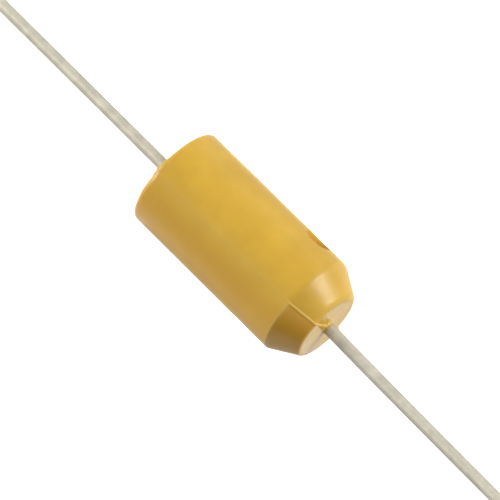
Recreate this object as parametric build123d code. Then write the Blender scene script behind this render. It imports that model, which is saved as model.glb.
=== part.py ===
from build123d import *
import os
from math import cos, radians, sin, tan

# Moulded axial tantalum capacitor, millimetres.
# +X runs along the leads towards the anode (positive) end, which is the tapered one.
# +Z is up. The mould parts in the plane Y = 0. The origin is the middle of the case.

# Moulded case
case_diameter = 4.52
case_length = 8.88            # flat cathode face to nose face
case_wall = 0.56              # epoxy around the coated slug
taper_length = 1.21           # along X, from the shoulder to the nose face
taper_angle = 30.0            # side of the taper against the axis, degrees
rim_radius = 0.20             # rounded edge of the cathode end
sharp_shoulder_radius = 0.12  # shoulder and nose edge of the mould half at -Y
sharp_nose_radius = 0.14
soft_shoulder_radius = 0.60   # the same edges of the half at +Y, which are rounder
soft_nose_radius = 0.36
mould_shift = 0.06            # the half at -Y sits this far along +X from the other
meniscus_radius = 0.12        # epoxy drawn up each lead where it leaves the case

# Flash along the parting line
flash_width = 0.07
flash_on_barrel = 0.012       # height above the cylinder
flash_on_ends = 0.035         # height above the taper, the nose and the cathode face

# Ejector pin marks, one in each mould half
mark_diameter = 1.22
mark_depth = 0.28
mark_to_shoulder = 1.43       # centre of the mark to the shoulder, along X

# Leads
lead_diameter = 0.51
lead_length = 28.0            # free length outside the case, each side
lead_end_chamfer = 0.05
anchor_depth = 0.07           # where the coined anchor starts, below the face
anchor_length = 0.70
anchor_width = 0.66           # oval section, pressed from the round wire
anchor_thickness = 0.39

# Anode side, inside the nose
lead_embedment = 1.20         # anode lead inside the case, up to the weld
weld_diameter = 0.72
anode_cover = 2.75            # nose face to the slug
riser_diameter = 0.30
riser_depth = 2.40            # tantalum wire held inside the slug
washer_diameter = 1.50
washer_thickness = 0.30

# Cathode side
cathode_cover = 1.00          # epoxy behind the lead's head
head_diameter = 1.30
head_thickness = 0.25
solder_thickness = 0.15       # between the head and the silver
solder_diameter = 2.60        # where it wets the silver
solder_lip = 0.06             # what stands round the head's back edge
solder_hollow = 0.09          # depth of its hollow fillet

# Slug and its coats
slug_edge_radius = 0.20
dioxide_thickness = 0.06
graphite_thickness = 0.04
silver_thickness = 0.05
graphite_setback = 0.25       # bare dioxide left at the anode end of the slug
silver_setback = 0.40

# Worked out from the sizes above
case_radius = case_diameter / 2
lead_radius = lead_diameter / 2
nose_radius = case_radius - taper_length * tan(radians(taper_angle))
coats = dioxide_thickness + graphite_thickness + silver_thickness
slug_radius = case_radius - case_wall - coats

cathode_face_x = -case_length / 2
nose_face_x = case_length / 2
shoulder_x = nose_face_x - taper_length
mark_x = shoulder_x - mark_to_shoulder
head_back_x = cathode_face_x + cathode_cover
head_front_x = head_back_x + head_thickness
silver_back_x = head_front_x + solder_thickness
slug_back_x = silver_back_x + coats
slug_front_x = nose_face_x - anode_cover
weld_x = nose_face_x - lead_embedment


def rod(radius, start_x, end_x):
    """Solid cylinder on the X axis."""
    return extrude(Plane.YZ.offset(start_x) * Circle(radius), end_x - start_x)


def turned(outline, angle=360):
    """Solid of revolution about X, from an outline drawn as (x, radius)."""
    return revolve(Plane.XZ * make_face(outline), Axis.X, angle)


def mould_half(shoulder_edge, nose_edge):
    """The half of the case at -Y."""
    corners = [
        (cathode_face_x, 0),
        (cathode_face_x, case_radius),
        (shoulder_x, case_radius),
        (nose_face_x, nose_radius),
        (nose_face_x, 0),
    ]
    side = FilletPolyline(*corners, radius=[rim_radius, shoulder_edge, nose_edge])
    return turned(side + Line(side @ 1, side @ 0), 180)


def flash():
    """Thin fin squeezed out between the mould halves, all round the case."""
    slope = tan(radians(taper_angle))
    end = mould_shift / 2 + flash_on_ends
    barrel = case_radius + flash_on_barrel
    rise = flash_on_ends / cos(radians(taper_angle))
    outline = [
        (cathode_face_x - end, 0),
        (cathode_face_x - end, case_radius - rim_radius),
        (cathode_face_x + rim_radius, barrel),
        (shoulder_x + (rise - flash_on_barrel) / slope, barrel),
        (nose_face_x + end, nose_radius + rise - end * slope),
        (nose_face_x + end, 0),
    ]
    upper = extrude(Plane.XZ * make_face(Polyline(*outline, close=True)), flash_width / 2, both=True)
    return upper + mirror(upper, about=Plane.XY)


def meniscus():
    """Collar of epoxy round the lead where it leaves the nose, hollow-sided and tangent to the wire."""
    root_x = nose_face_x - mould_shift
    foot = (nose_face_x - mould_shift / 2, lead_radius + meniscus_radius)
    tip = (nose_face_x + mould_shift / 2 + meniscus_radius, lead_radius)
    outline = Polyline(foot, (root_x, foot[1]), (root_x, 0), (tip[0], 0), tip)
    return turned(outline + TangentArc(tip, foot, tangent=(-1, 0)))


def ejector_mark():
    """Round recess left by an ejector pin on the +Y side."""
    floor = Plane.XZ.offset(mark_depth - case_radius)
    return extrude(floor * Pos(mark_x, 0) * Circle(mark_diameter / 2), -case_radius)


def moulded_case(contents):
    """The epoxy moulding, formed around everything it holds."""
    sharp_half = mould_half(sharp_shoulder_radius, sharp_nose_radius)
    soft_half = mirror(mould_half(soft_shoulder_radius, soft_nose_radius), about=Plane.XZ)
    body = Pos(mould_shift / 2, 0, 0) * sharp_half + Pos(-mould_shift / 2, 0, 0) * soft_half
    body += flash()
    collar = meniscus()
    body += collar + mirror(collar, about=Plane.YZ)
    mark = ejector_mark()
    body -= mark + mirror(mark, about=Plane.XZ)
    for piece in contents:
        body -= piece
    return body


def lead(inner_x):
    """Round wire along +X from inner_x, with an oval anchor coined just inside the nose."""
    wire = rod(lead_radius, inner_x, nose_face_x + lead_length)
    wire = chamfer(wire.edges().sort_by(Axis.X)[-1], lead_end_chamfer)
    anchor_end_x = nose_face_x - anchor_depth
    anchor_start_x = anchor_end_x - anchor_length
    wire -= rod(lead_diameter, anchor_start_x, anchor_end_x)
    oval = Plane.YZ.offset(anchor_start_x) * Ellipse(anchor_width / 2, anchor_thickness / 2)
    return wire + extrude(oval, anchor_length)


def cathode_lead():
    """The same wire on the other side, upset into a flat head for the solder."""
    return mirror(lead(-head_front_x), about=Plane.YZ) + rod(head_diameter / 2, head_back_x, head_front_x)


def weld_bead(wires):
    """Bead that joins the tantalum riser to the anode lead, end to end."""
    bead = Pos(weld_x, 0, 0) * Sphere(weld_diameter / 2)
    for wire in wires:
        bead -= wire
    return bead


def washer_disc():
    return rod(washer_diameter / 2, slug_front_x, slug_front_x + washer_thickness)


def slug_shape(growth):
    """The slug with every face moved out by growth."""
    edge = slug_edge_radius + growth
    corners = [
        (slug_back_x - growth, 0),
        (slug_back_x - growth, slug_radius + growth),
        (slug_front_x + growth, slug_radius + growth),
        (slug_front_x + growth, 0),
    ]
    side = FilletPolyline(*corners, radius=edge)
    return turned(side + Line(side @ 1, side @ 0))


def cup_layer(under, thickness, setback):
    """A coat over the back and side of the slug, on the coats under it, open at the anode end."""
    over = under + thickness
    open_end = rod(case_radius, slug_front_x - setback, nose_face_x)
    return slug_shape(over) - slug_shape(under) - open_end


def cathode_solder(cathode_wire):
    """Solder between the lead's head and the silver, with a hollow fillet round the head."""
    foot = (silver_back_x, solder_diameter / 2)
    top = (head_back_x, head_diameter / 2 + solder_lip)
    outline = Polyline(top, (head_back_x, 0), (silver_back_x, 0), foot)
    return turned(outline + SagittaArc(foot, top, solder_hollow)) - cathode_wire


def main():
    riser = rod(riser_diameter / 2, slug_front_x - riser_depth, weld_x)
    anode = lead(weld_x)
    cathode = cathode_lead()
    parts = {
        "anode_lead": anode,
        "cathode_lead": cathode,
        "riser_wire": riser,
        "weld_bead": weld_bead([riser, anode]),
        "insulating_washer": washer_disc() - riser,
        "tantalum_slug": slug_shape(0) - riser,
        "dioxide_layer": slug_shape(dioxide_thickness) - slug_shape(0) - washer_disc(),
        "graphite_layer": cup_layer(dioxide_thickness, graphite_thickness, graphite_setback),
        "silver_layer": cup_layer(dioxide_thickness + graphite_thickness, silver_thickness, silver_setback),
        "cathode_solder": cathode_solder(cathode),
    }
    parts["moulded_case"] = moulded_case(list(parts.values()))
    os.makedirs("parts", exist_ok=True)
    for name, shape in parts.items():
        export_step(shape, f"parts/{name}.step")


main()
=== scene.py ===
import bpy
import numpy as np
from math import acos, asin, cos, pi, radians, sin, tan
from mathutils import Matrix, Vector, noise


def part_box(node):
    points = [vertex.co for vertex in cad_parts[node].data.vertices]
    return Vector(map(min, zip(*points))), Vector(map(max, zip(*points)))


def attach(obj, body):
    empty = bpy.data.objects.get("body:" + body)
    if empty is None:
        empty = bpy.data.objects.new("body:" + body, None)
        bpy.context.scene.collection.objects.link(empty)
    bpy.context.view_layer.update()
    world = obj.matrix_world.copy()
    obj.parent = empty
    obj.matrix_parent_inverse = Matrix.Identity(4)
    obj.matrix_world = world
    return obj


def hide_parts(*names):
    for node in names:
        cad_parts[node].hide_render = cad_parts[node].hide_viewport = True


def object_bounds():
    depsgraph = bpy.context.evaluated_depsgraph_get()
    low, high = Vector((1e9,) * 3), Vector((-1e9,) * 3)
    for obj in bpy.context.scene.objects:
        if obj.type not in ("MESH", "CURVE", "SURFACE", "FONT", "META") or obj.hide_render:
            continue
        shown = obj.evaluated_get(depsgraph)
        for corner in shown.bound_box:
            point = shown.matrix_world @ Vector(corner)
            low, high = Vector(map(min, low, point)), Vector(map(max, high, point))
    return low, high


# Axial tantalum capacitor. The epoxy and the two leads are drawn again in fine mesh over the
# CAD frame, and the pieces inside the case keep their CAD mesh and get a material.
# +X runs along the leads to the tapered anode end, +Z is up, and the mould parts in the plane Y = 0.

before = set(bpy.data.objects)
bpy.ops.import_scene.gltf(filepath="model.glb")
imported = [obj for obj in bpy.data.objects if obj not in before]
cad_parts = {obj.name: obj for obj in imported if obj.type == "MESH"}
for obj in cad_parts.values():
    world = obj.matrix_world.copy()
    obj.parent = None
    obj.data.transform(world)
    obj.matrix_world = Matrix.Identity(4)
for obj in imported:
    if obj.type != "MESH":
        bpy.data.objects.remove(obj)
cad_low, cad_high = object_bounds()

MM = 0.001


def box_mm(node):
    """Lowest and highest corner of a CAD node, in millimetres."""
    low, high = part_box(node)
    return low / MM, high / MM


# ---------------------------------------------------------------- sizes, in millimetres

# A node's box gives a size where it can, and the others are those of the CAD.
case_low, case_high = box_mm("moulded_case")
anode_low, anode_high = box_mm("anode_lead")
cathode_high = box_mm("cathode_lead")[1]

case_radius = case_high.y
wire_radius = anode_high.z
mould_shift = 0.06            # the half at -Y sits this far along +X from the other
meniscus_radius = 0.12        # epoxy drawn up each lead
nose_face_x = case_high.x - meniscus_radius - mould_shift / 2
cathode_face_x = -nose_face_x
taper_length = 1.21
taper_angle = radians(30)
shoulder_x = nose_face_x - taper_length
nose_radius = case_radius - taper_length * tan(taper_angle)
rim_radius = 0.20             # rounded edge of the cathode end
sharp_edges = (0.12, 0.14)    # radii of the shoulder and the nose edge, on the half at -Y
soft_edges = (0.60, 0.36)     # and on the half at +Y

mark_radius = 0.61            # ejector pin marks, at +Y and -Y
mark_depth = 0.28
mark_to_shoulder = 1.43
mark_x = shoulder_x - mark_to_shoulder
mark_patch = 0.95             # half side of the square of mesh that holds a mark

anchor_depth = 0.07           # oval anchor coined in each lead, inside the case
anchor_length = 0.70
anchor_end = nose_face_x - anchor_depth
anchor_start = anchor_end - anchor_length
anchor_oval = (anode_high.y, 0.195)
lead_chamfer = 0.05
head_radius = cathode_high.z

slug_front_edge = 0.26        # rounding of the dioxide at the slug's front
slug_back_edge = 0.35         # and of the silver at its back
solder_lip = 0.06
solder_hollow = 0.09

flash_half_width = (0.050, 0.022)    # along the upper and along the lower parting line
flash_reach = (1.6, 0.8)      # of the flash towards +Y and towards -Y, in half widths
flash_flank = 0.028           # width of the slope at each side of the flash
lip_height = 0.085            # of which raise_lip gives a share at each point
box_margin = 0.001            # left between the top of the flash and the CAD box


# ---------------------------------------------------------------- fineness of the mesh

collar_rows = 7
rim_rows = 8
cathode_face_steps = 12
barrel_back_steps = 51        # from the rim to the marks
barrel_front_steps = 7        # from the marks to the shoulder
shoulder_rows = 10
taper_steps = 12
nose_edge_rows = 8
nose_face_steps = 14
plain_columns = 30            # of a quarter turn, between the flash and a mark
wire_steps = 419
wire_columns = 48
round_rows = 6                # of a rounded edge of the hollow
bead_rows = 8                 # of the weld bead in it

# Distances from the parting plane of the columns next to it, which hold the flash
plane_offsets = np.array([0, 0.022, 0.038, 0.052, 0.066, 0.09, 0.12])

# Distances from a mark's centre: even inside it, close together at its wall, wider outside
mark_levels = np.concatenate([
    np.linspace(0, mark_radius - 0.08, 6),
    mark_radius + np.array([-0.045, -0.03, -0.02, -0.01, 0, 0.012, 0.03, 0.07, 0.14]),
    [mark_patch],
])

far_away = 9.0                # stands for a distance that is beyond any mark or flash


# ---------------------------------------------------------------- mesh helpers

def smooth(low, high, value):
    """0 at low, 1 at high, level beyond them, and an S curve between. Low may be the larger."""
    t = np.clip((value - low) / (high - low), 0, 1)
    return t * t * (3 - 2 * t)


def wobble(points, scale, seed):
    """Perlin noise from -1 to 1 at each point of an (..., 3) array, with features of about scale mm."""
    flat = points.reshape(-1, 3) / scale + seed
    values = [noise.noise(Vector(p)) for p in flat]
    return np.array(values).reshape(points.shape[:-1])


def rounded(before, corner, after, radius, count):
    """Points of the arc that rounds a corner between two straight lines."""
    before, corner, after = (np.array(p, float) for p in (before, corner, after))
    a = (before - corner) / np.linalg.norm(before - corner)
    b = (after - corner) / np.linalg.norm(after - corner)
    half = acos(a @ b) / 2
    centre = corner + (a + b) / np.linalg.norm(a + b) * radius / sin(half)
    start = corner + a * radius / tan(half) - centre
    end = corner + b * radius / tan(half) - centre
    turn = pi - 2 * half
    t = np.linspace(0, 1, count)[:, None]
    return centre + (np.sin((1 - t) * turn) * start + np.sin(t * turn) * end) / sin(turn)


def between(start, end, steps):
    """Evenly spaced numbers from start to end, without either of them."""
    return np.linspace(start, end, steps + 1)[1:-1]


def line(start, end, steps):
    """Evenly spaced points from start to end, without either of them."""
    start, end = np.array(start, float), np.array(end, float)
    return start + between(0, 1, steps)[:, None] * (end - start)


def add_object(name, data):
    """Object with that data, in the scene."""
    item = bpy.data.objects.new(name, data)
    bpy.context.scene.collection.objects.link(item)
    return item


def ring_faces(rows, columns, closed):
    """Quads between neighbouring rings. The last ring is joined to the first if closed."""
    faces = []
    for i in range(rows if closed else rows - 1):
        here, next_row = i * columns, (i + 1) % rows * columns
        for j in range(columns):
            across = (j + 1) % columns
            faces.append((here + j, here + across, next_row + across, next_row + j))
    return faces


def cap_faces(first, columns, centre, flip):
    """Triangles from a centre vertex to the ring that starts at vertex first."""
    edges = [(first + j, first + (j + 1) % columns) for j in range(columns)]
    return [(centre, *edge[::-1]) if flip else (centre, *edge) for edge in edges]


def mesh_of_rings(name, rings, closed):
    """Object from rings (rows, columns, 3) in mm. Its ends meet if closed, and are capped if not."""
    rows, columns, _ = rings.shape
    vertices = list(rings.reshape(-1, 3) * MM)
    faces = ring_faces(rows, columns, closed)
    if not closed:
        for i, flip in ((0, True), (rows - 1, False)):
            faces += cap_faces(i * columns, columns, len(vertices), flip)
            vertices.append(rings[i].mean(axis=0) * MM)
    mesh = bpy.data.meshes.new(name)
    mesh.from_pydata(vertices, [], faces)
    mesh.validate()
    mesh.shade_smooth()
    mesh.set_sharp_from_angle(angle=radians(40))
    return add_object(name, mesh)


# ---------------------------------------------------------------- outline of the case

def collar(face_x, tip_x):
    """Hollow curve (x, radius) of epoxy from a face up to the tip on the wire."""
    turn = np.linspace(0, pi / 2, collar_rows)
    radius = wire_radius + meniscus_radius * (1 - np.sin(turn))
    return np.stack([face_x + (tip_x - face_x) * (1 - np.cos(turn)), radius], 1)


def barrel(start_x, end_x):
    """Rows (x, radius) along the cylinder, with those of the marks among them."""
    x = np.concatenate([
        between(start_x, mark_x - mark_patch, barrel_back_steps),
        mark_x - mark_levels[:0:-1],
        mark_x + mark_levels,
        between(mark_x + mark_patch, end_x, barrel_front_steps),
    ])
    return np.stack([x, np.full_like(x, case_radius)], 1)


def half_outline(edges, shift):
    """Sections (x, radius) of one mould half, from the cathode collar's tip to the anode collar's tip."""
    shoulder_edge, nose_edge = edges
    shoulder_end = shoulder_edge * tan(taper_angle / 2)
    foot = wire_radius + meniscus_radius
    shoulder_corner, nose_corner = (shoulder_x, case_radius), (nose_face_x, nose_radius)
    rim_corner = (cathode_face_x, case_radius)
    rim = rounded((cathode_face_x, 0), rim_corner, (0, case_radius), rim_radius, rim_rows)
    shoulder = rounded((0, case_radius), shoulder_corner, nose_corner, shoulder_edge, shoulder_rows)
    nose = rounded(shoulder_corner, nose_corner, (nose_face_x, 0), nose_edge, nose_edge_rows)
    return {
        "cathode collar": collar(cathode_face_x + shift, case_low.x)[::-1],
        "cathode face": line((cathode_face_x, foot), rim[0], cathode_face_steps) + (shift, 0),
        "rim": rim + (shift, 0),
        "barrel": barrel(rim[-1][0] + shift, shoulder_x - shoulder_end + shift),
        "shoulder": shoulder + (shift, 0),
        "taper": line(shoulder[-1], nose[0], taper_steps) + (shift, 0),
        "nose edge": nose + (shift, 0),
        "nose face": line(nose[-1], (nose_face_x, foot), nose_face_steps) + (shift, 0),
        "anode collar": collar(nose_face_x + shift, case_high.x),
    }


# ---------------------------------------------------------------- columns of the case

def quarter_angles(radius):
    """Angles from the parting plane, (rows, columns), of a quarter turn in rows of these radii."""
    near = np.arcsin(np.clip(plane_offsets[None, :] / radius[:, None], 0, 1))
    near_at_barrel = asin(plane_offsets[-1] / case_radius)
    patch_angles = np.arccos(mark_levels[::-1] / case_radius)
    plain = between(near_at_barrel, patch_angles[0], plain_columns + 1)
    share = (np.concatenate([plain, patch_angles]) - near_at_barrel) / (pi / 2 - near_at_barrel)
    far = near[:, -1:] + share[None, :] * (pi / 2 - near[:, -1:])
    return np.concatenate([near, far], axis=1)


def around(quarter):
    """One ring from a quarter's values: from the top to +Y, the bottom, -Y and back, each column once."""
    back = quarter[..., ::-1]
    return np.concatenate([quarter, back[..., 1:], quarter[..., 1:], back[..., 1:-1]], axis=-1)


def ring_columns():
    """For each column of a ring: signs of y and z, distances from the parting plane and from a mark."""
    count = len(plane_offsets) + plain_columns + len(mark_levels)
    offset = np.full(count, far_away)
    offset[: len(plane_offsets)] = plane_offsets
    level = np.full(count, far_away)
    level[-len(mark_levels):] = mark_levels[::-1]
    ones = np.ones(count)
    sign_y = np.concatenate([ones, ones[1:], -ones[1:], -ones[1:-1]])
    sign_z = np.concatenate([ones, -ones[1:], -ones[1:], ones[1:-1]])
    return sign_y, sign_z, around(offset), around(level)


# ---------------------------------------------------------------- details of the case

def flash_heights(sections, rows, top, seed, lumpy):
    """Height of the flash over each row of one parting line. Top is its side of Z."""
    trace = np.stack([rows[:, 0], 0 * rows[:, 0], top * rows[:, 1]], 1)
    rough = 0.5 + 0.5 * wobble(trace, 0.35, seed)
    near_tip = smooth(wire_radius, wire_radius + meniscus_radius, rows[:, 1])
    height = {
        "cathode collar": 0 * rough,
        "cathode face": 0.010 + 0.020 * rough,
        "rim": 0.008 + 0.012 * rough,
        "barrel": 0.0003 + 0.0012 * rough,
        "shoulder": 0.006 + 0.008 * rough,
        "taper": (0.011 + 0.009 * rough) * (0.2 + 0.8 * lumpy),
        "nose edge": 0.002 + (0.012 + 0.014 * rough) * lumpy,
        "nose face": 0.004 + (0.014 + 0.008 * rough) * lumpy,
        "anode collar": 0.004 * near_tip,
    }
    return np.select([sections == name for name in height], list(height.values()))


def raise_flash(x, radius, sections, rows, fin, lower):
    """x and radius with the columns next to the parting plane raised along the outline's normal."""
    along = np.gradient(rows, axis=0)
    normal = np.stack([-along[:, 1], along[:, 0]], 1)
    normal /= np.maximum(np.linalg.norm(normal, axis=1), 1e-9)[:, None]
    height = np.where(
        lower[None, :],
        flash_heights(sections, rows, top=-1, seed=8.0, lumpy=0)[:, None],
        flash_heights(sections, rows, top=1, seed=3.0, lumpy=1)[:, None],
    )
    fin_x = rows[:, :1] + normal[:, :1] * height
    fin_radius = np.minimum(rows[:, 1:] + normal[:, 1:] * height, case_high.z - box_margin)
    return x + fin * (fin_x - x), radius + fin * (fin_radius - radius)


def sink_skin(x, y, z, sections, fin):
    """y and z with the slight waviness of the moulded skin, inwards only."""
    wavy = np.isin(sections, ["rim", "barrel", "shoulder", "taper", "nose edge"])[:, None]
    depth = 0.002 + 0.002 * wobble(np.stack([x, y, z], -1), 1.6, 20.0)
    sink = np.where(wavy, depth, 0) * (1 - fin)
    return y * (1 - sink / case_radius), z * (1 - sink / case_radius)


def raise_lip(x, y, z, radius, sections):
    """x with the flash on the upper edge of the cathode end: a low lip, and a tongue that stands out."""
    tip = np.exp(-((y + 0.1) / 0.12) ** 2)
    tongue = smooth(-0.36, -0.12, y) * smooth(0.75, 0.45, y) * (0.55 + 0.25 * tip)
    lip = 0.35 * smooth(-1.5, -0.9, y) * smooth(0.85, 0.45, y)
    at_edge = smooth(1.90, 2.10, radius) * (z > 0) * np.isin(sections, ["cathode face", "rim"])[:, None]
    at_face = smooth(cathode_face_x + 0.17, cathode_face_x + 0.03, x)
    return x - lip_height * (np.maximum(tongue, lip) * at_edge * at_face)


def press_mark(x, y, z, row_level, column_level):
    """Moves the mesh of the two square patches onto circles, and sinks the pin marks into them."""
    a, b = row_level[:, None] + 0 * z, np.sign(z) * column_level[None, :]
    inside = (np.abs(a) <= mark_patch) & (np.abs(b) <= mark_patch)
    larger = np.maximum(np.maximum(np.abs(a), np.abs(b)), 1e-9)
    smaller = np.minimum(np.abs(a), np.abs(b))
    turn = pi / 4 * smaller / larger
    long, short = larger * np.cos(turn), larger * np.sin(turn)
    wide = np.abs(a) >= np.abs(b)
    u = np.sign(a) * np.where(wide, long, short)
    v = np.sign(b) * np.where(wide, short, long)

    # The outermost ring keeps the square's own form, where the patch meets the barrel
    square = smooth(mark_levels[-2], mark_patch, larger)
    u, v = u + square * (a - u), v + square * (b - v)
    distance = np.hypot(u, v)
    surface = np.sqrt(np.maximum(case_radius**2 - v**2, 0))
    rim_droop = 0.008 * np.exp(-np.maximum(distance - mark_radius, 0) / 0.03)
    floor = case_radius - mark_depth
    wall = smooth(mark_radius - 0.032, mark_radius + 0.006, distance)
    height = floor + wall * (surface - rim_droop - floor)
    return (
        np.where(inside, mark_x + u, x),
        np.where(inside, np.sign(y) * height, y),
        np.where(inside, v, z),
    )


def tints(sections, rows, y, z, sign_y, fin):
    """Values from 0 to 1 at each point of the outside, by name. The epoxy's material reads them."""
    def among(*names):
        """True in the rows of these sections."""
        return np.isin(sections, names)[:, None]

    on_barrel = among("barrel")
    # Pale tints: thin epoxy on the flash and the anode collar, a paler tint inside the marks, painted
    # sheen in dashes along the seam, and a painted highlight on the sharp shoulder edge at -Y.
    dashes = 0.10 + 0.16 * smooth(0.45, 0.7, 0.5 + 0.5 * wobble(rows[:, [0, 0, 0]], 0.25, 60.0))[:, None]
    thin_and_sheen_places = (
        0.6 * fin * ~on_barrel,                                           # flash
        dashes * on_barrel * smooth(0.20, 0.02, np.abs(y)),               # seam
        0.6 * among("anode collar"),
        0.45 * (on_barrel & (np.hypot(y, z) < case_radius - 0.04)),       # marks
        0.4 * (among("shoulder") & (sign_y < 0)),                         # sharp edge
    )
    # Painted shade: a darker, redder tint on the side at -Y, in full on the taper and nose edge, 0.6 of
    # it on the rim, barrel and shoulder.
    taper_painted_shade = among("taper", "nose edge") * (sign_y < 0) * (1 - fin)
    side_painted_shade = among("rim", "barrel", "shoulder") * 0.6 * smooth(0.1, -0.9, y)
    return {
        "thin_epoxy_and_sheen": np.maximum.reduce(np.broadcast_arrays(*thin_and_sheen_places)),
        "polish": among("nose face") * (1 - fin),
        "painted_shade": taper_painted_shade + side_painted_shade,
    }


# ---------------------------------------------------------------- hollow of the case

def disc(x, radius):
    """Row (x, radius y, radius z) of a round section."""
    return (x, radius, radius)


def solder_outline(silver_x, solder_low, solder_high):
    """Outline (x, radius) of the solder, from its foot on the silver over its hollow side to its lip."""
    foot, top = Vector((silver_x, solder_high.z)), Vector((solder_low.x, head_radius + solder_lip))
    chord = top - foot
    inward = Vector((-chord.y, chord.x)).normalized()
    fillet = [foot + chord * t + inward * solder_hollow * 4 * t * (1 - t) for t in (0.2, 0.4, 0.6, 0.8)]
    return [foot, *fillet, top, (solder_low.x, wire_radius)]


def slug_outline():
    """Outline (x, radius) of what lies between the two wires, from the weld back to the solder."""
    riser_high = box_mm("riser_wire")[1]
    weld_radius = box_mm("weld_bead")[1].z
    washer_high = box_mm("insulating_washer")[1]
    dioxide_high = box_mm("dioxide_layer")[1]
    graphite_high = box_mm("graphite_layer")[1]
    silver_low, silver_high = box_mm("silver_layer")

    turns = np.linspace(asin(wire_radius / weld_radius), pi - asin(riser_high.z / weld_radius), bead_rows)
    front = ((dioxide_high.x, 0), (dioxide_high.x, dioxide_high.z), (0, dioxide_high.z))
    back = ((0, silver_high.z), (silver_low.x, silver_high.z), (silver_low.x, 0))
    return [
        *[(riser_high.x + weld_radius * cos(t), weld_radius * sin(t)) for t in turns],
        (washer_high.x, riser_high.z),
        (washer_high.x, washer_high.z),
        (dioxide_high.x, washer_high.z),
        *rounded(*front, slug_front_edge, round_rows),
        (graphite_high.x, dioxide_high.z),
        (graphite_high.x, graphite_high.z),
        (silver_high.x, graphite_high.z),
        (silver_high.x, silver_high.z),
        *rounded(*back, slug_back_edge, round_rows),
        *solder_outline(silver_low.x, *box_mm("cathode_solder")),
    ]


def hollow_rings(sign_y, sign_z):
    """Rings of the hollow that the leads and the slug fill, from the anode end back."""
    rows = np.array([
        disc(anchor_end, wire_radius),
        (anchor_end, *anchor_oval),
        (anchor_start, *anchor_oval),
        disc(anchor_start, wire_radius),
        *[disc(x, radius) for x, radius in slug_outline()],
        disc(-anchor_start, wire_radius),
        (-anchor_start, *anchor_oval),
        (-anchor_end, *anchor_oval),
        disc(-anchor_end, wire_radius),
    ])
    angle = around(quarter_angles(np.full(len(rows), wire_radius)))
    radius = 1 / np.hypot(np.sin(angle) / rows[:, 1:2], np.cos(angle) / rows[:, 2:3])
    return np.stack([
        rows[:, :1] + 0 * radius,
        sign_y * radius * np.sin(angle),
        sign_z * radius * np.cos(angle),
    ], -1)


# ---------------------------------------------------------------- moulded case

def carry(piece, name, outside):
    """Gives each point of the mesh a value: this one on the outside, which comes first, and 0 inside."""
    values = np.zeros(len(piece.data.vertices), np.float32)
    values[: outside.size] = outside.ravel()
    piece.data.attributes.new(name, "FLOAT", "POINT").data.foreach_set("value", values)


def build_case():
    """The epoxy moulding: outside in fine mesh, inside the hollow that its contents fill."""
    sharp = half_outline(sharp_edges, mould_shift / 2)
    soft = half_outline(soft_edges, -mould_shift / 2)
    sections = np.concatenate([[name] * len(rows) for name, rows in sharp.items()])
    sharp_rows, soft_rows = (np.concatenate(list(half.values())) for half in (sharp, soft))

    # The half at -Y is sharp, the half at +Y soft, and the parting plane lies midway
    sign_y, sign_z, offset, level = ring_columns()
    softness = np.where(offset == 0, 0.5, sign_y > 0)[None, :]
    x = sharp_rows[:, :1] * (1 - softness) + soft_rows[:, :1] * softness
    radius = sharp_rows[:, 1:] * (1 - softness) + soft_rows[:, 1:] * softness

    lower = sign_z < 0
    half_width = np.where(lower, flash_half_width[1], flash_half_width[0])
    half_width = half_width * np.where(sign_y > 0, flash_reach[0], flash_reach[1])
    fin = smooth(0, flash_flank, half_width - offset)[None, :]
    x, radius = raise_flash(x, radius, sections, sharp_rows, fin, lower)

    angle = around(quarter_angles(radius[:, 0]))
    y = sign_y * radius * np.sin(angle)
    z = sign_z * radius * np.cos(angle)
    y, z = sink_skin(x, y, z, sections, fin)
    x = raise_lip(x, y, z, radius, sections)
    row_level = np.where(sections == "barrel", sharp_rows[:, 0] - mark_x, far_away)
    x, y, z = press_mark(x, y, z, row_level, level)

    rings = np.concatenate([np.stack([x, y, z], -1), hollow_rings(sign_y, sign_z)])
    piece = mesh_of_rings("epoxy_moulding", rings, closed=True)
    for name, values in tints(sections, sharp_rows, y, z, sign_y, fin).items():
        carry(piece, name, values)
    return piece


# ---------------------------------------------------------------- leads

def lead_rows(inner_rows):
    """Rows (x, radius y, radius z) of a lead that runs to +X, from its inner end outwards."""
    tip_x = anode_high.x
    return np.array([
        *inner_rows,
        disc(anchor_start, wire_radius),
        (anchor_start, *anchor_oval),
        (anchor_end, *anchor_oval),
        disc(anchor_end, wire_radius),
        *[disc(x, wire_radius) for x in between(anchor_end, tip_x - lead_chamfer, wire_steps)],
        disc(tip_x - lead_chamfer, wire_radius),
        disc(tip_x - 0.3 * lead_chamfer, wire_radius - 0.45 * lead_chamfer),
        disc(tip_x, wire_radius - lead_chamfer),
    ])


def build_lead(name, inner_rows, direction, bend, reach):
    """A tinned wire with a slightly uneven coat, on the case's side given by direction.

    Its free part swings to bend mm along Y, most of it within reach mm of the case.
    """
    rows = lead_rows(inner_rows)
    angle = np.linspace(0, 2 * pi, wire_columns, endpoint=False)[None, :]
    radius = 1 / np.hypot(np.sin(angle) / rows[:, 1:2], np.cos(angle) / rows[:, 2:3])
    x = rows[:, :1] + 0 * radius
    free = smooth(case_high.x, case_high.x + 0.5, rows[:, :1])

    points = np.stack([x, radius * np.sin(angle), radius * np.cos(angle)], -1)
    fine, broad = wobble(points * (0.4, 1, 1), 0.22, 40.0), wobble(points, 0.9, 50.0)
    radius = radius - free * (0.0012 + 0.0008 * fine + 0.0008 * broad)

    away = np.maximum(rows[:, :1] - case_high.x, 0)
    sway = free * (bend * (1 - np.exp(-away / reach)))
    points = np.stack([direction * x, radius * np.sin(angle) + sway, radius * np.cos(angle)], -1)
    if direction > 0:
        points = points[:, ::-1]
    return mesh_of_rings(name, points, closed=False)


# ---------------------------------------------------------------- materials

def linear(red, green, blue):
    """Shader colour of an sRGB colour from 0 to 255."""
    def channel(value):
        value /= 255
        return value / 12.92 if value <= 0.04045 else ((value + 0.055) / 1.055) ** 2.4
    return (channel(red), channel(green), channel(blue), 1)


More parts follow.
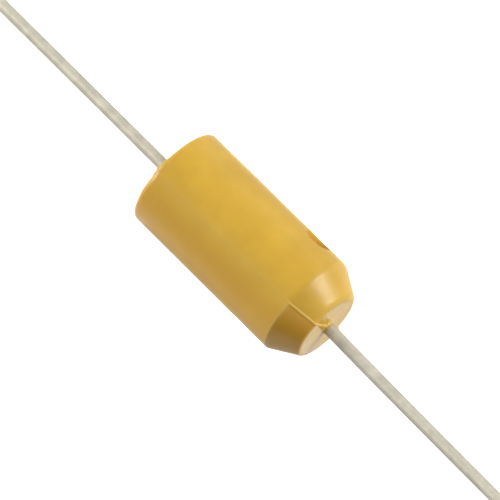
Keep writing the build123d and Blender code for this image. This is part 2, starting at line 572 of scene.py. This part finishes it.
class Shader:
    """A material with a Principled BSDF and short ways to add nodes. Texture space is in millimetres."""

    def __init__(self, name):
        self.material = bpy.data.materials.new(name)
        self.material.use_nodes = True
        self.tree = self.material.node_tree
        self.bsdf = self.tree.nodes["Principled BSDF"]
        self.place = self.add("ShaderNodeMapping")
        self.place.inputs["Scale"].default_value = (1 / MM,) * 3
        self.link(self.add("ShaderNodeTexCoord").outputs["Object"], self.place.inputs["Vector"])

    def add(self, kind):
        return self.tree.nodes.new(kind)

    def link(self, source, target):
        self.tree.links.new(source, target)

    def attribute(self, name):
        """Value from 0 to 1 that the mesh carries at each point."""
        node = self.add("ShaderNodeAttribute")
        node.attribute_name = name
        return node.outputs["Fac"]

    def stretched(self, scale):
        """The texture space, scaled."""
        node = self.add("ShaderNodeMapping")
        node.inputs["Scale"].default_value = scale
        self.link(self.place.outputs["Vector"], node.inputs["Vector"])
        return node.outputs["Vector"]

    def noise(self, scale, detail=3.0, roughness=0.5, vector=None):
        """Noise with about scale features to a millimetre."""
        node = self.add("ShaderNodeTexNoise")
        node.inputs["Scale"].default_value = scale
        node.inputs["Detail"].default_value = detail
        node.inputs["Roughness"].default_value = roughness
        self.link(vector or self.place.outputs["Vector"], node.inputs["Vector"])
        return node.outputs["Fac"]

    def ramp(self, factor, stops):
        """Colour ramp with (position, colour) stops."""
        node = self.add("ShaderNodeValToRGB")
        elements = node.color_ramp.elements
        while len(elements) < len(stops):
            elements.new(0.5)
        for element, (position, colour) in zip(elements, stops):
            element.position, element.color = position, colour
        self.link(factor, node.inputs["Fac"])
        return node.outputs["Color"]

    def mix(self, factor, first, second):
        """Colour from the first socket's to the second colour, by a factor socket."""
        node = self.add("ShaderNodeMix")
        node.data_type = "RGBA"
        self.link(factor, node.inputs["Factor"])
        sockets = {s.name: s for s in node.inputs if s.type == "RGBA"}
        self.link(first, sockets["A"])
        sockets["B"].default_value = second
        return next(s for s in node.outputs if s.type == "RGBA")

    def scaled(self, factor, by, plus):
        """A factor socket times a number, plus another socket."""
        node = self.add("ShaderNodeMath")
        node.operation = "MULTIPLY_ADD"
        self.link(factor, node.inputs[0])
        node.inputs[1].default_value = by
        self.link(plus, node.inputs[2])
        return node.outputs[0]

    def spread(self, factor, low, high):
        """A factor from 0.3 to 0.7, the usual reach of noise, spread from low to high."""
        node = self.add("ShaderNodeMapRange")
        node.inputs["From Min"].default_value = 0.3
        node.inputs["From Max"].default_value = 0.7
        node.inputs["To Min"].default_value = low
        node.inputs["To Max"].default_value = high
        self.link(factor, node.inputs["Value"])
        return node.outputs["Result"]

    def bump(self, height, depth_mm, under=None):
        """Relief of that depth, over another relief if there is one."""
        node = self.add("ShaderNodeBump")
        node.inputs["Strength"].default_value = 1
        node.inputs["Distance"].default_value = depth_mm * MM
        self.link(height, node.inputs["Height"])
        if under:
            self.link(under, node.inputs["Normal"])
        return node.outputs["Normal"]

    def set(self, name, value):
        """Sets an input of the Principled BSDF to a value, or links it to a socket."""
        if isinstance(value, bpy.types.NodeSocket):
            self.link(value, self.bsdf.inputs[name])
        else:
            self.bsdf.inputs[name].default_value = value


def epoxy():
    """Satin gold-yellow epoxy, faintly clouded, paler where thin, with painted sheen and painted shade at
    -Y.
    """
    s = Shader("gold epoxy")
    clouds = s.noise(0.8, 3)
    body = s.ramp(clouds, [(0.30, linear(218, 172, 46)), (0.70, linear(230, 185, 54))])
    # Painted shade: a darker, redder tint where the mesh carries it, on the side at -Y.
    body = s.mix(s.attribute("painted_shade"), body, linear(224, 168, 48))
    # Paler where the epoxy is thin, with painted sheen along the seam and a painted highlight on the
    # sharp edge at -Y.
    s.set("Base Color", s.mix(s.attribute("thin_epoxy_and_sheen"), body, linear(222, 184, 98)))
    satin = s.spread(s.noise(3.0, 4), 0.34, 0.42)
    s.set("Roughness", s.scaled(s.attribute("polish"), -0.16, plus=satin))
    waves = s.bump(s.noise(0.9, 2), 0.006)
    s.set("Normal", s.bump(s.noise(24, 2), 0.0003, waves))
    s.set("IOR", 1.55)
    s.set("Subsurface Weight", 0.25)
    s.set("Subsurface Radius", (1.0, 0.45, 0.12))
    s.set("Subsurface Scale", 0.4 * MM)
    return s.material


def tinned_wire():
    """Matte tin, drawn along the wire and a little blotched."""
    s = Shader("matte tin")
    streaks = s.noise(9, 4, vector=s.stretched((0.12, 1, 1)))
    blotches = s.noise(2.6, 4)
    s.set("Base Color", s.ramp(blotches, [(0.32, linear(178, 173, 158)), (0.68, linear(194, 189, 173))]))
    s.set("Metallic", 1.0)
    s.set("Specular Tint", (0.7, 0.7, 0.7, 1))
    s.set("Roughness", s.spread(streaks, 0.52, 0.66))
    lumps = s.bump(blotches, 0.004)
    s.set("Normal", s.bump(streaks, 0.0015, lumps))
    return s.material


def inner_metal(name, dark, light, roughness, scale, relief):
    """Grainy metal for a piece inside the case."""
    s = Shader(name)
    grain = s.noise(scale, 4)
    s.set("Base Color", s.ramp(grain, [(0.3, dark), (0.7, light)]))
    s.set("Metallic", 1.0)
    s.set("Roughness", s.spread(grain, roughness - 0.08, roughness + 0.08))
    s.set("Normal", s.bump(grain, relief))
    return s.material


def inner_coat(name, dark, light, roughness, scale, relief):
    """Grainy dull coat or moulding inside the case."""
    s = Shader(name)
    grain = s.noise(scale, 5, 0.6)
    s.set("Base Color", s.ramp(grain, [(0.3, dark), (0.7, light)]))
    s.set("Roughness", s.spread(grain, roughness - 0.1, roughness + 0.1))
    s.set("Normal", s.bump(grain, relief))
    return s.material


# Node, kind, name of the material, dark and light colour, roughness, grains to a millimetre, relief in mm
inner_looks = (
    ("riser_wire", inner_metal, "tantalum wire", (96, 98, 106), (128, 130, 138), 0.40, 14, 0.001),
    ("weld_bead", inner_metal, "weld bead", (110, 104, 98), (172, 168, 160), 0.34, 5, 0.004),
    ("cathode_solder", inner_metal, "solder", (150, 150, 148), (205, 205, 202), 0.32, 4, 0.004),
    ("silver_layer", inner_metal, "silver paint", (160, 158, 152), (204, 203, 198), 0.55, 18, 0.003),
    ("tantalum_slug", inner_coat, "sintered tantalum", (58, 58, 62), (92, 92, 98), 0.70, 26, 0.006),
    ("dioxide_layer", inner_coat, "manganese dioxide", (26, 22, 22), (52, 46, 44), 0.75, 16, 0.005),
    ("graphite_layer", inner_coat, "graphite", (40, 40, 43), (72, 72, 76), 0.50, 20, 0.002),
    ("insulating_washer", inner_coat, "fluoropolymer", (224, 224, 220), (242, 242, 239), 0.45, 6, 0.001),
)


def dress_inner_nodes():
    """Gives each CAD node inside the case its material."""
    for node, kind, name, dark, light, roughness, scale, relief in inner_looks:
        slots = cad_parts[node].data.materials
        slots.clear()
        slots.append(kind(name, linear(*dark), linear(*light), roughness, scale, relief))


# ---------------------------------------------------------------- floor and light

def seen_directly(tree):
    """Socket that is 1 for what the camera sees, straight or in a reflection, and 0 for diffuse light."""
    path = tree.nodes.new("ShaderNodeLightPath")
    seen = path.outputs["Is Camera Ray"]
    for ray in ("Is Glossy Ray", "Is Transmission Ray"):
        larger = tree.nodes.new("ShaderNodeMath")
        larger.operation = "MAXIMUM"
        tree.links.new(seen, larger.inputs[0])
        tree.links.new(path.outputs[ray], larger.inputs[1])
        seen = larger.outputs[0]
    return seen


def build_world():
    """White to the camera and to reflections, and a soft even light on the object."""
    world = bpy.data.worlds.new("studio")
    bpy.context.scene.world = world
    world.use_nodes = True
    tree = world.node_tree
    soft = tree.nodes["Background"]
    soft.inputs["Color"].default_value = (1, 1, 1, 1)
    soft.inputs["Strength"].default_value = 0.25
    white = tree.nodes.new("ShaderNodeBackground")
    white.inputs["Color"].default_value = (1, 1, 1, 1)
    mix = tree.nodes.new("ShaderNodeMixShader")
    tree.links.new(seen_directly(tree), mix.inputs["Fac"])
    tree.links.new(soft.outputs[0], mix.inputs[1])
    tree.links.new(white.outputs[0], mix.inputs[2])
    tree.links.new(mix.outputs[0], tree.nodes["World Output"].inputs["Surface"])


def quads(name, corners, settings):
    """Object of flat quads, four corners in metres to each, and the nodes of its material.

    The settings are those of its Principled BSDF.
    """
    mesh = bpy.data.meshes.new(name)
    mesh.from_pydata(corners, [], [tuple(range(k, k + 4)) for k in range(0, len(corners), 4)])
    material = bpy.data.materials.new(name)
    material.use_nodes = True
    bsdf = material.node_tree.nodes["Principled BSDF"]
    for socket, value in settings.items():
        bsdf.inputs[socket].default_value = value
    mesh.materials.append(material)
    return add_object(name, mesh), material.node_tree


def rectangle(low_x, low_y, high_x, high_y, z):
    """Corners of a level rectangle."""
    return [(low_x, low_y, z), (high_x, low_y, z), (high_x, high_y, z), (low_x, high_y, z)]


def build_floor():
    """White sweep just under the case, bright enough to look white and still take a faint shadow."""
    size = 1.2
    floor, tree = quads("floor", rectangle(-size, -size, size, size, cad_low.z), {
        "Base Color": (0.8, 0.8, 0.8, 1),
        "Roughness": 1.0,
        "Specular IOR Level": 0.0,
        "Emission Color": (1, 1, 1, 1),
    })
    glow = tree.nodes.new("ShaderNodeMath")
    glow.operation = "MULTIPLY"
    glow.inputs[1].default_value = 0.85
    tree.links.new(seen_directly(tree), glow.inputs[0])
    tree.links.new(glow.outputs[0], tree.nodes["Principled BSDF"].inputs["Emission Strength"])


def lamp(name, azimuth, elevation, size, power):
    """Square softbox that faces the object. Azimuth is measured from +X towards +Y."""
    distance = 0.5
    light = bpy.data.lights.new(name, "AREA")
    light.shape = "SQUARE"
    light.size = size
    light.energy = power
    turn, rise = radians(azimuth), radians(elevation)
    towards = Vector((cos(rise) * cos(turn), cos(rise) * sin(turn), sin(rise)))
    holder = add_object(name, light)
    holder.location = towards * distance
    holder.rotation_mode = "QUATERNION"
    holder.rotation_quaternion = (-towards).to_track_quat("-Z", "Y")


def black_flag(name, azimuth, width, height):
    """Dark card that stands on the floor and faces the object. Only light and reflections see it."""
    distance = 0.25
    turn = radians(azimuth)
    centre = Vector((cos(turn), sin(turn), 0)) * distance + Vector((0, 0, cad_low.z))
    side = Vector((-sin(turn), cos(turn), 0)) * width / 2
    up = Vector((0, 0, height))
    flag, _ = quads(name, [centre - side, centre + side, centre + side + up, centre - side + up], {
        "Base Color": (0.02, 0.02, 0.02, 1),
        "Roughness": 1.0,
    })
    flag.visible_camera = False


def grey_cards(name, patches, level):
    """Cards just over the floor, each (low x, low y, high x, high y) in mm.

    Only reflections see them, as a glow of that level, where 1 is white.
    """
    z = cad_low.z + 0.02 * MM
    corners = [corner for patch in patches for corner in rectangle(*(edge * MM for edge in patch), z)]
    cards, _ = quads(name, corners, {
        "Base Color": (0, 0, 0, 1),
        "Specular IOR Level": 0.0,
        "Emission Color": (1, 1, 1, 1),
        "Emission Strength": level,
    })
    cards.visible_camera = cards.visible_diffuse = cards.visible_shadow = False


# ---------------------------------------------------------------- camera

def build_camera():
    """Long lens above the case, turned so that the leads cross the picture from corner to corner."""
    distance = 0.300
    picture_width = 19.83 * MM    # at the object
    tilt = radians(15.3)          # off the vertical, towards the anode end
    lean = radians(10.7)          # and towards +Y
    roll = radians(44.662)        # of the leads below the picture's horizontal
    back = Vector((sin(tilt), cos(tilt) * sin(lean), cos(tilt) * cos(lean)))
    along = Vector((1, 0, 0)) - back * back.x
    along.normalize()
    across = back.cross(along)
    right = along * cos(roll) + across * sin(roll)
    up = across * cos(roll) - along * sin(roll)
    aim = right * 0.004 * MM + up * 0.025 * MM

    data = bpy.data.cameras.new("camera")
    data.sensor_width = 36
    data.lens = data.sensor_width * distance / picture_width
    data.clip_start, data.clip_end = 0.01, 5
    camera = add_object("camera", data)
    pose = Matrix((right, up, back)).transposed().to_4x4()
    pose.translation = aim + back * distance
    camera.matrix_world = pose
    bpy.context.scene.camera = camera


# ---------------------------------------------------------------- scene

case = build_case()
case.data.materials.append(epoxy())
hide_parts("moulded_case")
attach(case, "root")

# The anode lead starts at its weld. The cathode lead, also drawn towards +X, starts with its flat head.
weld_end = [disc(anode_low.x, wire_radius)]
head_front_x, head_back_x = -cathode_high.x, -box_mm("cathode_solder")[0].x
head_end = [
    disc(head_front_x, head_radius),
    disc(head_back_x, head_radius),
    disc(head_back_x, wire_radius),
]
tin = tinned_wire()
for name, node, inner_rows, direction, bend, reach in (
    ("anode_wire", "anode_lead", weld_end, 1, -0.16, 7.0),
    ("cathode_wire", "cathode_lead", head_end, -1, 0.03, 8.0),
):
    wire = build_lead(name, inner_rows, direction, bend, reach)
    wire.data.materials.append(tin)
    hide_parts(node)
    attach(wire, "root")

dress_inner_nodes()
build_world()
build_floor()
lamp("front", 57, 8, 0.26, 2.12)
lamp("rear", 193, 33, 0.26, 1.88)
black_flag("flag", 302, 0.28, 0.20)
# Dimmer than the floor, where the photo shows little of it in the epoxy's rims and in the wires
grey_cards("case_cards", [(-4.8, -60, 14, -3), (-4.8, 3, 2.5, 14)], 0.70)
grey_cards("lead_cards", [(-60, 0.4, -4.8, 14), (6.5, 0.4, 60, 14)], 1.05)
build_camera()
bpy.context.scene.view_settings.view_transform = "Standard"
